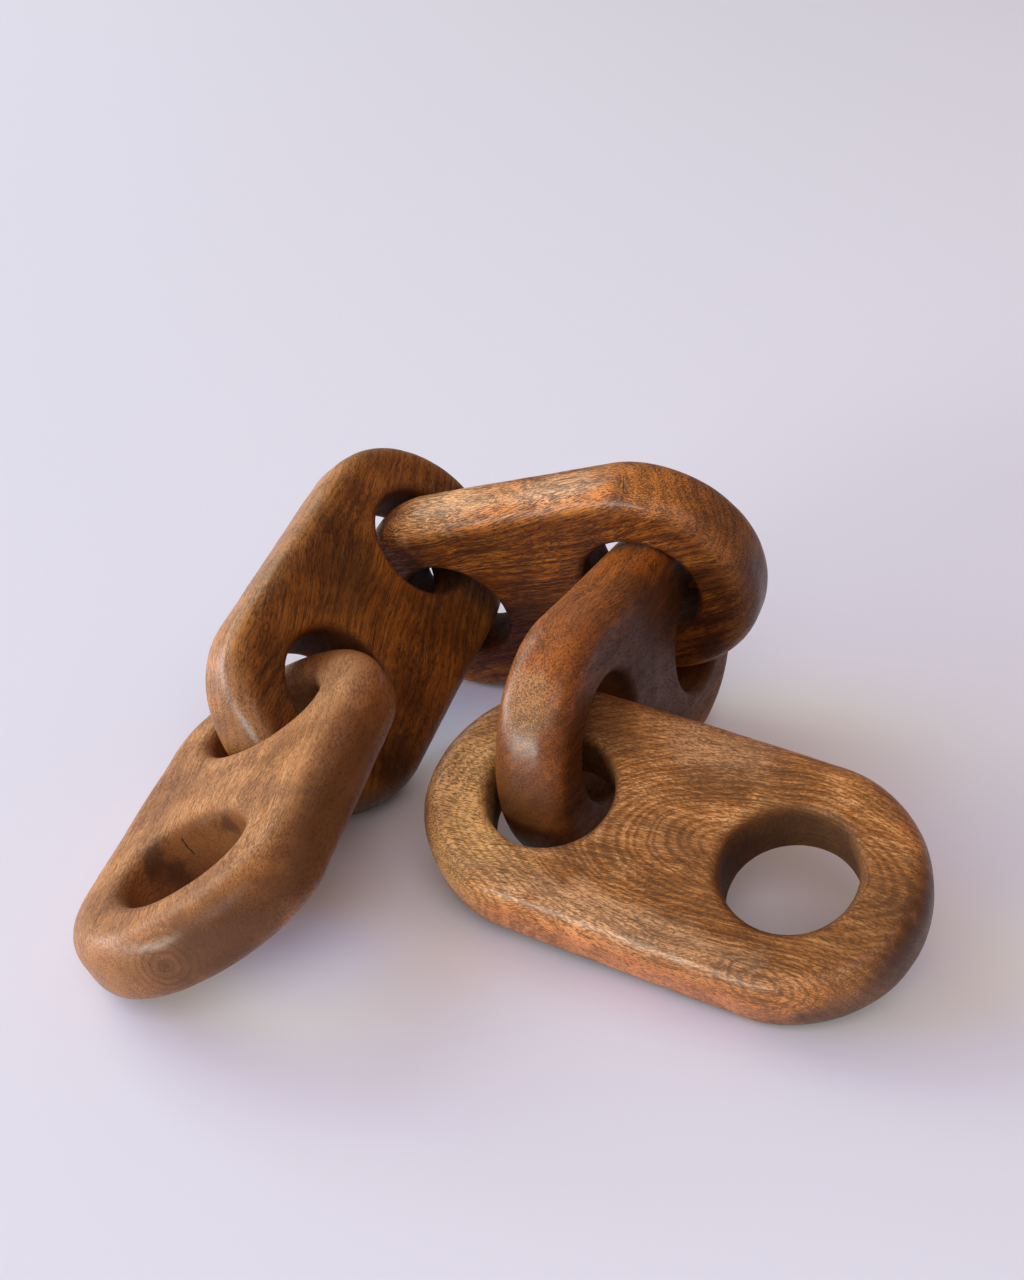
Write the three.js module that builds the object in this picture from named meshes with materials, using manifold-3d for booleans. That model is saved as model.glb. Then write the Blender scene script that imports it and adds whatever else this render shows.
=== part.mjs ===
// Wooden chain of five carved links
//
// Every link is the same plank with full round ends, softly rounded edges and
// two round holes. Each link passes through a hole of the next one. The chain
// lies loose on a table, bent back on itself: the first link lies tilted, the
// second leans, the third and fourth stand on their long edges, and the fifth
// lies tilted over the lower rail of the fourth.
// Millimetres, +Z up. The table is at z = 0 and the chain is centred over the
// origin. A link's own x axis runs along its length, y across its width and z
// through its thickness. Its head is its +x end and its tail is its -x end,
// and the head hole of each link holds the tail of the next one.

import * as THREE from "three";
import { mergeVertices } from "three/addons/utils/BufferGeometryUtils.js";
import Module from "manifold-3d";

const wasm = await Module();
wasm.setup();

// Driving dimensions of one link

const linkLength = 150;
const linkThickness = 22.5;
const sideWood = 19.5;
const endWood = 19;
const edgeRollWidth = 6.5;
const edgeRollDepth = 8.5;
const rimRollWidth = 2.6;
const rimRollDepth = 3;

// Play of the wood beside a hole in the neighbour's hole, which passes it
// whichever way it is turned, and the least room left where two links touch

const linkPlay = 8.2;
const linkClearance = 0.3;

// Fineness of the facets

const endArcSegments = 11;
const edgeRollSegments = 3;
const holeSegments = 28;
const rimRollSegments = 3;

// Sizes that follow: the holes pass the wood of the neighbours, the plank is
// as wide as a hole with its wood on both sides, and the rail reach goes from
// a hole's centre to the middle of the wood beside it

const holeDiameter = Math.hypot(sideWood, linkThickness) + linkPlay;
const holeInset = endWood + holeDiameter / 2;
const linkWidth = holeDiameter + 2 * sideWood;
const railReach = (holeDiameter + sideWood) / 2;

// How each link lies, in degrees: yaw turns it on the table, rise lifts its
// head end and roll turns it about its own length. The fourth link stands on
// its edge as given. Of each other link one angle, named in the joint below,
// is only about right and is found from the hole that the link hangs in.

const poses = {
  link_1_left_end: { yaw: 79.5, rise: 2, roll: -29.5 },
  link_2_leaning: { yaw: 70.5, rise: 15, roll: 46.5 },
  link_3_on_edge: { yaw: -30, rise: 20.5, roll: -70 },
  link_4_crossing: { yaw: -115.5, rise: 0, roll: -84.5 },
  link_5_right_end: { yaw: -30, rise: -2, roll: 27.5 },
};

// Where the hole of a link lies from the hole of the neighbour that it hangs
// in, across the table and above it, as shares of the rail reach. The link is
// turned about the found angle to come to that height, and then drawn along
// the table in a heading in degrees until it meets the neighbour.

const joints = {
  threeInFour: { across: [-0.23, -0.09], above: 0.86, found: "rise", drawn: 90 },
  twoInThree: { across: [-0.74, 0.01], above: 0.49, found: "rise", drawn: 180 },
  oneInTwo: { across: [-0.37, -0.64], above: -0.15, found: "rise", drawn: 90 },
  fiveInFour: { across: [-0.24, -0.85], above: -0.38, found: "roll", drawn: -90 },
};

// How far a link may turn to find its angle, the fineness of that angle, both
// in degrees, and the step in which it is drawn along the table

const turnRange = 12;
const turnStep = 0.01;
const drawStep = 0.25;

// Colour of the oiled wood

const woodColours = {
  link_1_left_end: 0x8f5f3e,
  link_2_leaning: 0x6e3f22,
  link_3_on_edge: 0x84512f,
  link_4_crossing: 0x754428,
  link_5_right_end: 0x8c5c36,
};
const woodRoughness = 0.5;

// Plank with full round ends and rounded edges

function plankGeometry() {
  const endRadius = linkWidth / 2;
  const endCentre = linkLength / 2 - endRadius;
  const outline = new THREE.Shape();
  outline.absarc(endCentre, 0, endRadius, -Math.PI / 2, Math.PI / 2);
  outline.absarc(-endCentre, 0, endRadius, Math.PI / 2, (3 * Math.PI) / 2);
  outline.closePath();
  const flatSide = linkThickness - 2 * edgeRollDepth;
  const geometry = new THREE.ExtrudeGeometry(outline, {
    depth: flatSide,
    curveSegments: endArcSegments,
    bevelThickness: edgeRollDepth,
    bevelSize: edgeRollWidth,
    bevelOffset: -edgeRollWidth,
    bevelSegments: edgeRollSegments,
  });
  geometry.translate(0, 0, -flatSide / 2);
  return geometry;
}

// Cutter for one hole: a straight bore that opens out in a rounded rim at
// both faces

function holeCutterGeometry() {
  const face = linkThickness / 2;
  const rimRadius = holeDiameter / 2 + rimRollWidth;
  const overrun = 1;
  const upperRim = [];
  for (let step = 0; step <= rimRollSegments; step += 1) {
    const angle = ((Math.PI / 2) * step) / rimRollSegments;
    const radius = rimRadius - rimRollWidth * Math.cos(angle);
    const height = face - rimRollDepth * (1 - Math.sin(angle));
    upperRim.push(new THREE.Vector2(radius, height));
  }
  const lowerRim = upperRim.map((point) => new THREE.Vector2(point.x, -point.y)).reverse();
  const profile = [
    new THREE.Vector2(0, -face - overrun),
    new THREE.Vector2(rimRadius, -face - overrun),
    ...lowerRim,
    ...upperRim,
    new THREE.Vector2(rimRadius, face + overrun),
    new THREE.Vector2(0, face + overrun),
  ];
  const geometry = new THREE.LatheGeometry(profile, holeSegments);
  geometry.rotateX(Math.PI / 2);
  return geometry;
}

// Closed solid from a geometry, and a geometry from a solid

function solidFromGeometry(geometry) {
  const bare = geometry.clone();
  bare.deleteAttribute("normal");
  bare.deleteAttribute("uv");
  const merged = mergeVertices(bare, 1e-4);
  const vertProperties = new Float32Array(merged.attributes.position.array);
  const triVerts = new Uint32Array(merged.index.array);
  const mesh = new wasm.Mesh({ numProp: 3, vertProperties, triVerts });
  return new wasm.Manifold(mesh);
}

function geometryFromSolid(solid) {
  const mesh = solid.getMesh();
  const geometry = new THREE.BufferGeometry();
  geometry.setAttribute("position", new THREE.BufferAttribute(mesh.vertProperties, 3));
  geometry.setIndex(new THREE.BufferAttribute(mesh.triVerts, 1));
  geometry.computeVertexNormals();
  return geometry;
}

// One link in its own frame

function linkGeometry() {
  let link = solidFromGeometry(plankGeometry());
  for (const end of [-1, 1]) {
    const cutter = holeCutterGeometry();
    cutter.translate(end * (linkLength / 2 - holeInset), 0, 0);
    link = link.subtract(solidFromGeometry(cutter));
  }
  return geometryFromSolid(link);
}

const plainLink = linkGeometry();

// A link as a mesh, turned to its pose and standing on the table

function turnedLink(name) {
  const material = new THREE.MeshStandardMaterial({
    color: woodColours[name],
    roughness: woodRoughness,
    metalness: 0,
  });
  const link = new THREE.Mesh(plainLink, material);
  link.name = name;
  turnTo(link, poses[name]);
  return link;
}

function turnTo(link, pose) {
  link.rotation.set(
    THREE.MathUtils.degToRad(pose.roll),
    THREE.MathUtils.degToRad(-pose.rise),
    THREE.MathUtils.degToRad(pose.yaw),
    "ZYX",
  );
  link.position.z = 0;
  link.position.z = -lowestPoint(link);
}

function placedGeometry(link) {
  link.updateMatrix();
  return link.geometry.clone().applyMatrix4(link.matrix);
}

function lowestPoint(link) {
  const placed = placedGeometry(link);
  placed.computeBoundingBox();
  return placed.boundingBox.min.z;
}

// Centre of a link's hole, with end = 1 for the head and -1 for the tail

function holeCentre(link, end) {
  link.updateMatrix();
  const centre = new THREE.Vector3(end * (linkLength / 2 - holeInset), 0, 0);
  return centre.applyMatrix4(link.matrix);
}

// Hang a link by one of its holes in the neighbour: turn it to bring the hole
// to its height, put it beside the neighbour's hole and draw it up

function hangInto(link, end, neighbour, joint) {
  const target = holeCentre(neighbour, -end);
  turnToHeight(link, end, joint.found, target.z + joint.above * railReach);
  const own = holeCentre(link, end);
  link.position.x += target.x + joint.across[0] * railReach - own.x;
  link.position.y += target.y + joint.across[1] * railReach - own.y;
  drawUp(link, neighbour, joint.drawn);
}

// Turn a link about one of its angles, which raises the hole as it grows,
// until the hole is at the wanted height

function turnToHeight(link, end, angle, height) {
  const pose = { ...poses[link.name] };
  let low = pose[angle] - turnRange;
  let high = pose[angle] + turnRange;
  while (high - low > turnStep) {
    pose[angle] = (low + high) / 2;
    turnTo(link, pose);
    if (holeCentre(link, end).z < height) {
      low = pose[angle];
    } else {
      high = pose[angle];
    }
  }
}

// Draw a link along the table until it meets the neighbour, or back until it
// is clear of it

function drawUp(link, neighbour, heading) {
  const angle = THREE.MathUtils.degToRad(heading);
  const step = new THREE.Vector3(Math.cos(angle), Math.sin(angle), 0).multiplyScalar(drawStep);
  const own = solidFromGeometry(placedGeometry(link));
  const other = solidFromGeometry(placedGeometry(neighbour));
  const clearAfter = (steps) => {
    const moved = own.translate(step.clone().multiplyScalar(steps).toArray());
    return moved.minGap(other, 2 * linkClearance) >= linkClearance;
  };
  const mostSteps = railReach / drawStep;
  let steps = 0;
  while (steps > -mostSteps && !clearAfter(steps)) {
    steps -= 1;
  }
  while (steps < mostSteps && clearAfter(steps + 1)) {
    steps += 1;
  }
  link.position.addScaledVector(step, steps);
}

const link1 = turnedLink("link_1_left_end");
const link2 = turnedLink("link_2_leaning");
const link3 = turnedLink("link_3_on_edge");
const link4 = turnedLink("link_4_crossing");
const link5 = turnedLink("link_5_right_end");

hangInto(link3, 1, link4, joints.threeInFour);
hangInto(link2, 1, link3, joints.twoInThree);
hangInto(link1, 1, link2, joints.oneInTwo);
hangInto(link5, -1, link4, joints.fiveInFour);

const chain = new THREE.Group();
chain.add(link1, link2, link3, link4, link5);

// Centre the chain over the origin

const box = new THREE.Box3().setFromObject(chain, true);
const middle = box.getCenter(new THREE.Vector3());
for (const link of chain.children) {
  link.position.x -= middle.x;
  link.position.y -= middle.y;
}

export default chain;
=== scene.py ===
"""Carved wooden chain: five chunky links of oiled mango wood on a pale table.

The chain lies loose and bent back on itself. Every link is one plank with full
round ends, softly rolled edges and two round holes, carved and sanded by hand,
and each link hangs in the next one. Everything is in metres, in the frame of
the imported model, and each link takes the place of its CAD node.
"""

from __future__ import annotations

import logging
import math
from dataclasses import dataclass
from enum import Enum
from typing import Any

import bpy
import numpy as np
from mathutils import Euler, Matrix, Vector

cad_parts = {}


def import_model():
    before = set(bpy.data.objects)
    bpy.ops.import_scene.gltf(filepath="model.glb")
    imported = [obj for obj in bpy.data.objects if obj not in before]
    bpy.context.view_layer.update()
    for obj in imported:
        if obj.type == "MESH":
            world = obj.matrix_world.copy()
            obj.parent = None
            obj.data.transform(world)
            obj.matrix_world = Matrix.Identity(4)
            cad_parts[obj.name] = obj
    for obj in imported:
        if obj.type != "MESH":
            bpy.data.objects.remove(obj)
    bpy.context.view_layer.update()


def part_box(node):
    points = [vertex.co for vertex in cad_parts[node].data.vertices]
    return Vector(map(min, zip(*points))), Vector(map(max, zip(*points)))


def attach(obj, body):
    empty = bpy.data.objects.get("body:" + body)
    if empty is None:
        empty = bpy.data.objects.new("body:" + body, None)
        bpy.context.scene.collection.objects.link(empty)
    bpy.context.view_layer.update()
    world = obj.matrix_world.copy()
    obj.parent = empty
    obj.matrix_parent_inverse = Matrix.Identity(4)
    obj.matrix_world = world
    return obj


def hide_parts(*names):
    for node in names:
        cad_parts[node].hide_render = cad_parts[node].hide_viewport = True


LOG = logging.getLogger("carved_chain")
MM = 0.001

# Marks of mango wood, as length and width in millimetres. The pores are about
# 0.2 mm wide in the real wood and are drawn a little coarser, so that they show.
FIBRES = (14.0, 0.6)
BANDS = (36.0, 1.8)
SPECKS = (1.2, 0.34)
PORE_PATCHES = (22.0, 8.0)
STREAK_WIDTH = 0.36

# Slow changes in the wood, in changes a millimetre
GRAIN_BENDS = (0.018, 0.03, 0.03)  # every 55 mm along the plank and 33 mm across
HEARTWOOD_DRIFT = 0.035  # every 29 mm
OIL_CLOUDS = 0.07  # every 14 mm
STAIN_AND_LIGHT_RAGS = 0.13  # every 8 mm
OIL_WEAR = 0.12  # every 8 mm
KNOT_RIPPLES = 0.25  # every 4 mm
CRACK_JITTER = 0.5  # every 2 mm

# How far noise pushes a pattern about, in millimetres
GRAIN_WANDER = (12.0, 16.0, 16.0)
STAIN_AND_LIGHT_RAGGEDNESS = (22.0, 16.0, 10.0)
KNOT_WAVER = 1.6
CRACK_WAVER = 0.9

# Where a stain or a patch of painted light ends and where it is full, as shares of its reach
STAIN_AND_LIGHT_RIM = 1.25
STAIN_AND_LIGHT_CORE = 0.4

# Growth rings: how many rings noise pushes them by, and its changes a ring
RING_WAVER = 3.0
RING_WAVER_RATE = 0.3

# Pore flecks: the value at which they begin where a link has none, how far a
# full cover brings that down, and how far above it a fleck is fully dark
FLECK_START = 0.82
FLECK_COVER_RANGE = 0.25
FLECK_FADE = 0.07
SPECKS_RARER = 0.03

# How far from its average the mixed tone is fully pale or fully deep
TONE_SPREAD = 0.27

# How much each thing counts
HEARTWOOD_SHARE = 0.8  # the heartwood's drift of tone, against 1 for the fibres
PATCH_SHARE = 0.35  # patches of pores, against 1 for the single pores
EDGE_SHARE = 0.6  # the sanded edge's own colour, over the wood
BORE_OIL_AND_SHADE = 1.4  # oil that soaked into a hole together with painted shade there, against 1 for the end grain
SOAKED_AND_SHADED_SHARE = 0.55  # the deep colour where oil soaked in and where shade is painted in the holes, over the wood
SPECK_SHARE = 0.6  # the specks' strength, against 1 for the flecks
HEART_SHARE = 0.85  # a knot's heart, over the wood
CRACK_SHARE = 0.85  # a crack's dark line, over the wood
CRACK_DARK = "#170c06"

# Roughness that the wood gains where the oil has worn, in open pores and in holes
WORN_ROUGHNESS = 0.13
PORE_ROUGHNESS = 0.15
BORE_ROUGHNESS = 0.2

# The fine relief's unit in metres, and how many units each mark rises or sinks
RELIEF_UNIT = 0.12 * MM
PORE_RELIEF = -0.6
FIBRE_RELIEF = 0.8
STREAK_RELIEF = -0.25
CRACK_RELIEF = -3.0

# Swells that a rasp leaves, each with its name, spacing and share of the height
SWELLS = (("slow", 26 * MM, 1.0), ("quick", 7 * MM, 0.22))

# A face looks straight up when its normal's z is above this
STRAIGHT_UP = 0.99


class LinkEnd(Enum):
    """The two ends of a link, as the sign of its own x axis."""

    HEAD = 1
    TAIL = -1


class Face(Enum):
    """The two broad faces of a link, as the sign of its own z axis."""

    UPPER = 1
    UNDER = -1


def linear_colour(code: str) -> tuple[float, float, float, float]:
    """Turn an sRGB hex colour into the linear values that Blender's sockets take.

    Args:
        code: The colour as six hex digits, with or without a leading #.

    Returns:
        Red, green, blue and an alpha of one, all linear.
    """
    digits = code.lstrip("#")
    parts = [int(digits[i : i + 2], 16) / 255 for i in (0, 2, 4)]
    linear = [p / 12.92 if p <= 0.04045 else ((p + 0.055) / 1.055) ** 2.4 for p in parts]
    return (linear[0], linear[1], linear[2], 1.0)


def add_node(
    tree: bpy.types.NodeTree,
    kind: str,
    settings: dict[str, Any] | None = None,
    inputs: dict[str | int, Any] | None = None,
) -> bpy.types.Node:
    """Add one node, set it up and link what feeds it.

    Args:
        tree: The node tree that gets the node.
        kind: Blender's name for the type of node.
        settings: The node's own properties by name.
        inputs: Values, or output sockets to link from, by input name or number.

    Returns:
        The new node.
    """
    node = tree.nodes.new(kind)
    for name, value in (settings or {}).items():
        setattr(node, name, value)
    for key, value in (inputs or {}).items():
        if isinstance(value, bpy.types.NodeSocket):
            tree.links.new(value, node.inputs[key])
        else:
            node.inputs[key].default_value = value
    return node


@dataclass(frozen=True)
class Pose:
    """How a link lies, in degrees, as the CAD turns it.

    The CAD finds one angle of most links from the hole that the link hangs in,
    and that one is given to a thousandth.
    """

    yaw: float
    rise: float
    roll: float

    def euler(self) -> Euler:
        """Return the turn as Blender's XYZ angles."""
        angles = (math.radians(self.roll), math.radians(-self.rise), math.radians(self.yaw))
        return Euler(angles, "XYZ")

    def matrix(self, centre: Vector) -> Matrix:
        """Return the matrix that puts a link from its own frame in its place."""
        return Matrix.Translation(centre) @ self.euler().to_matrix().to_4x4()


@dataclass(frozen=True)
class Knot:
    """A knot or curl where the grain closes in rings, in the link's own frame.

    The stretch is how much longer its rings are along the grain than across.
    """

    place: tuple[float, float, float]
    spread: float
    ring_gap: float
    heart: float
    strength: float
    stretch: float = 1.0


@dataclass(frozen=True)
class Crack:
    """A fine dark crack between two points of the surface, in the link's own frame."""

    start: tuple[float, float, float]
    end: tuple[float, float, float]
    width: float


@dataclass(frozen=True)
class StainOrPaintedLight:
    """A patch where the wood has another tone, or where shade or a highlight is painted on, in the
    link's own frame.
    """

    place: tuple[float, float, float]
    reach: tuple[float, float, float]
    colour: str
    strength: float


@dataclass(frozen=True)
class OiledMango:
    """Mango wood, sawn from a plank, carved, sanded and rubbed with oil.

    The eye sees a warm brown body with paler bands between the growth rings,
    short dark pore flecks that run along the grain, a cloudy patina of oil and
    a satin gloss. The edges are sanded through to paler, more orange wood.

    Wood and dried oil both have an IOR near 1.5. The oil lies as a thin coat
    that shines on the rubbed edges and has nearly gone from the flat faces.

    The wood's own colours are pale, body and deep, then come the sanded edge,
    the open pore and the oil's patina. The slant is the angle of the grain to
    the link in degrees. The growth rings lie round the pith, which is drawn
    out along the grain, and ring_pores says how far the pores keep to them. A
    fleck is given by its length and width. A cover or strength is a share.
    Lengths are in millimetres, in the link's own frame.
    """

    name: str
    slot: str
    pale: str
    body: str
    deep: str
    edge: str
    pore: str
    patina: str
    slant: float
    pith: tuple[float, float, float]
    pith_stretch: float
    ring_gap: float
    ring_strength: float
    ring_pores: float
    band_strength: float
    fleck: tuple[float, float]
    fleck_cover: float
    fleck_strength: float
    streak_length: float
    streak_strength: float
    patina_strength: float
    roughness: float
    stains_and_painted_light: tuple[StainOrPaintedLight, ...] = ()
    knots: tuple[Knot, ...] = ()
    cracks: tuple[Crack, ...] = ()

    def material(self, pose: Pose, centre: Vector) -> bpy.types.Material:
        """Make the wood for one link.

        Args:
            pose: How the link is turned, so that the grain runs along it.
            centre: The link's centre in metres.

        Returns:
            The finished material.
        """
        material = bpy.data.materials.new(self.name)
        material.use_nodes = True
        tree = material.node_tree
        tree.nodes.clear()
        grain = self.grain_space(tree, pose, centre)
        wavy = self.wavy_space(tree, grain)
        rings = self.rings(tree, wavy)
        fibre = self.drawn_noise(tree, wavy, FIBRES, 4.0)
        streaks = self.streaks(tree, wavy)
        flecks = self.flecks(tree, wavy, rings, self.fleck, 0.0)
        specks = self.flecks(tree, wavy, rings, SPECKS, SPECKS_RARER)
        bands = self.drawn_noise(tree, wavy, BANDS, 3.0)
        colour = self.toned(tree, grain, rings, fibre, bands)
        colour = self.aged_and_shaded(tree, grain, colour)
        colour = self.lay_stains_and_painted_light(tree, grain, colour)
        colour = self.layered(tree, colour, streaks, self.streak_strength, self.deep)
        speck_strength = SPECK_SHARE * self.fleck_strength
        colour = self.layered(tree, colour, specks, speck_strength, self.pore)
        colour = self.layered(tree, colour, flecks, self.fleck_strength, self.pore)
        for knot in self.knots:
            colour = self.knotted(tree, grain, colour, knot)
        marks = None
        for crack in self.cracks:
            colour, marks = self.cracked(tree, grain, colour, marks, crack)
        shader = add_node(
            tree,
            "ShaderNodeBsdfPrincipled",
            inputs={
                "Base Color": colour,
                "Roughness": self.gloss(tree, grain, flecks),
                "IOR": 1.5,
                "Specular IOR Level": 0.18,
                "Coat Weight": self.polish(tree),
                "Coat Roughness": 0.27,
                "Coat IOR": 1.45,
                "Normal": self.relief(tree, fibre, streaks, flecks, marks),
            },
        )
        add_node(tree, "ShaderNodeOutputMaterial", inputs={"Surface": shader.outputs["BSDF"]})
        return material

    def grain_space(
        self, tree: bpy.types.NodeTree, pose: Pose, centre: Vector
    ) -> bpy.types.NodeSocket:
        """Give the link's own coordinates in millimetres, x along the grain.

        Args:
            tree: The material's node tree.
            pose: How the link is turned.
            centre: The link's centre in metres.

        Returns:
            The vector output.
        """
        place = add_node(tree, "ShaderNodeTexCoord")
        own = add_node(
            tree,
            "ShaderNodeMapping",
            {"vector_type": "TEXTURE"},
            {
                "Vector": place.outputs["Object"],
                "Location": centre,
                "Rotation": pose.euler(),
                "Scale": (MM, MM, MM),
            },
        )
        return own.outputs["Vector"]

    def wavy_space(
        self, tree: bpy.types.NodeTree, grain: bpy.types.NodeSocket
    ) -> bpy.types.NodeSocket:
        """Let the grain wander by a few millimetres, as it does round old branches.

        Each link's pith picks its own stretch of the noise, so no two are alike.

        Args:
            tree: The material's node tree.
            grain: The link's own coordinates.

        Returns:
            The coordinates of the wandering grain.
        """
        slanted = add_node(
            tree,
            "ShaderNodeMapping",
            {"vector_type": "TEXTURE"},
            {"Vector": grain, "Rotation": (0, 0, math.radians(self.slant))},
        )
        slow = add_node(
            tree,
            "ShaderNodeMapping",
            {"vector_type": "POINT"},
            {"Vector": grain, "Scale": GRAIN_BENDS, "Location": self.pith},
        )
        wander = add_node(
            tree,
            "ShaderNodeTexNoise",
            inputs={
                "Vector": slow.outputs["Vector"],
                "Scale": 1.0,
                "Detail": 2.0,
                "Roughness": 0.35,
            },
        )
        centred = add_node(
            tree,
            "ShaderNodeVectorMath",
            {"operation": "SUBTRACT"},
            {0: wander.outputs["Color"], 1: (0.5, 0.5, 0.5)},
        )
        shifted = add_node(
            tree,
            "ShaderNodeVectorMath",
            {"operation": "MULTIPLY_ADD"},
            {
                0: centred.outputs["Vector"],
                1: GRAIN_WANDER,
                2: slanted.outputs["Vector"],
            },
        )
        return shifted.outputs["Vector"]

    def rings(
        self, tree: bpy.types.NodeTree, wavy: bpy.types.NodeSocket
    ) -> bpy.types.NodeSocket:
        """Give the growth rings round the pith, from 0 in early to 1 in late wood.

        The trunk is crooked, so on a face that cuts the rings at a flat angle
        they close in long ovals.

        Args:
            tree: The material's node tree.
            wavy: The coordinates of the wandering grain.

        Returns:
            The ring value.
        """
        across = add_node(
            tree,
            "ShaderNodeMapping",
            {"vector_type": "TEXTURE"},
            {
                "Vector": wavy,
                "Location": self.pith,
                "Scale": (self.pith_stretch, 1.0, 1.0),
            },
        )
        radius = add_node(
            tree, "ShaderNodeVectorMath", {"operation": "LENGTH"}, {0: across.outputs["Vector"]}
        )
        uneven = add_node(
            tree,
            "ShaderNodeTexNoise",
            {"noise_dimensions": "1D"},
            {
                "W": radius.outputs["Value"],
                "Scale": RING_WAVER_RATE / self.ring_gap,
                "Detail": 2.0,
            },
        )
        phase = add_node(
            tree,
            "ShaderNodeMath",
            {"operation": "MULTIPLY_ADD"},
            {
                0: uneven.outputs["Fac"],
                1: RING_WAVER * self.ring_gap,
                2: radius.outputs["Value"],
            },
        )
        turned = add_node(
            tree,
            "ShaderNodeMath",
            {"operation": "MULTIPLY"},
            {0: phase.outputs["Value"], 1: 2 * math.pi / self.ring_gap},
        )
        wave = add_node(tree, "ShaderNodeMath", {"operation": "SINE"}, {0: turned.outputs["Value"]})
        late = add_node(
            tree,
            "ShaderNodeMapRange",
            {"interpolation_type": "SMOOTHSTEP"},
            {"Value": wave.outputs["Value"], "From Min": -0.7, "From Max": 1.0},
        )
        return late.outputs["Result"]

    def drawn_noise(
        self,
        tree: bpy.types.NodeTree,
        wavy: bpy.types.NodeSocket,
        mark: tuple[float, float],
        detail: float,
    ) -> bpy.types.NodeSocket:
        """Give a noise whose marks are drawn out along the grain.

        It is shifted by the marks' length, so that no two kinds of mark fall together.

        Args:
            tree: The material's node tree.
            wavy: The coordinates of the wandering grain.
            mark: The marks' length and width in millimetres.
            detail: How many finer noises lie over the first.

        Returns:
            The noise, about 0.5 on average.
        """
        length, width = mark
        drawn = add_node(
            tree,
            "ShaderNodeMapping",
            {"vector_type": "TEXTURE"},
            {"Vector": wavy, "Location": (length, 0, 0), "Scale": (length, width, width)},
        )
        noise = add_node(
            tree,
            "ShaderNodeTexNoise",
            inputs={
                "Vector": drawn.outputs["Vector"],
                "Scale": 1.0,
                "Detail": detail,
                "Roughness": 0.6,
            },
        )
        return noise.outputs["Fac"]

    def streaks(
        self, tree: bpy.types.NodeTree, wavy: bpy.types.NodeSocket
    ) -> bpy.types.NodeSocket:
        """Give fine dark streaks, where long vessels lie open side by side.

        Args:
            tree: The material's node tree.
            wavy: The coordinates of the wandering grain.

        Returns:
            The streak value, 1 inside a streak and 0 outside.
        """
        lines = self.drawn_noise(tree, wavy, (self.streak_length, STREAK_WIDTH), 2.0)
        streak = add_node(
            tree,
            "ShaderNodeMapRange",
            {"interpolation_type": "SMOOTHSTEP"},
            {"Value": lines, "From Min": 0.54, "From Max": 0.64},
        )
        return streak.outputs["Result"]

    def flecks(
        self,
        tree: bpy.types.NodeTree,
        wavy: bpy.types.NodeSocket,
        rings: bpy.types.NodeSocket,
        mark: tuple[float, float],
        rarer: float,
    ) -> bpy.types.NodeSocket:
        """Give open pores as dark flecks along the grain, denser in patches and rings.

        Args:
            tree: The material's node tree.
            wavy: The coordinates of the wandering grain.
            rings: The ring value.
            mark: The flecks' length and width in millimetres.
            rarer: How much rarer they are than the link's usual flecks.

        Returns:
            The fleck value, 1 inside a fleck and 0 outside.
        """
        dashes = self.drawn_noise(tree, wavy, mark, 1.0)
        patch = self.drawn_noise(tree, wavy, PORE_PATCHES, 2.0)
        reach = add_node(
            tree,
            "ShaderNodeMath",
            {"operation": "MULTIPLY_ADD"},
            {0: patch, 1: PATCH_SHARE, 2: dashes},
        )
        ringed = add_node(
            tree,
            "ShaderNodeMath",
            {"operation": "MULTIPLY_ADD"},
            {0: rings, 1: self.ring_pores, 2: reach.outputs["Value"]},
        )
        # The rings are about 0.5 on average, which the last part makes up for
        low = FLECK_START - FLECK_COVER_RANGE * self.fleck_cover + rarer + self.ring_pores / 2
        fleck = add_node(
            tree,
            "ShaderNodeMapRange",
            {"interpolation_type": "SMOOTHSTEP"},
            {"Value": ringed.outputs["Value"], "From Min": low, "From Max": low + FLECK_FADE},
        )
        return fleck.outputs["Result"]

    def toned(
        self,
        tree: bpy.types.NodeTree,
        grain: bpy.types.NodeSocket,
        rings: bpy.types.NodeSocket,
        fibre: bpy.types.NodeSocket,
        bands: bpy.types.NodeSocket,
    ) -> bpy.types.NodeSocket:
        """Give the wood's own colours, paler and more golden in the early wood.

        Args:
            tree: The material's node tree.
            grain: The link's own coordinates.
            rings: The ring value.
            fibre: The fibre value.
            bands: The value of the broad bands along the grain.

        Returns:
            The colour.
        """
        banded = add_node(
            tree,
            "ShaderNodeMath",
            {"operation": "MULTIPLY_ADD"},
            {0: rings, 1: self.ring_strength, 2: fibre},
        )
        drift = add_node(
            tree,
            "ShaderNodeTexNoise",
            inputs={"Vector": grain, "Scale": HEARTWOOD_DRIFT, "Detail": 2.0},
        )
        drifted = add_node(
            tree,
            "ShaderNodeMath",
            {"operation": "MULTIPLY_ADD"},
            {0: drift.outputs["Fac"], 1: HEARTWOOD_SHARE, 2: banded.outputs["Value"]},
        )
        mixed = add_node(
            tree,
            "ShaderNodeMath",
            {"operation": "MULTIPLY_ADD"},
            {0: bands, 1: self.band_strength, 2: drifted.outputs["Value"]},
        )
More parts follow.
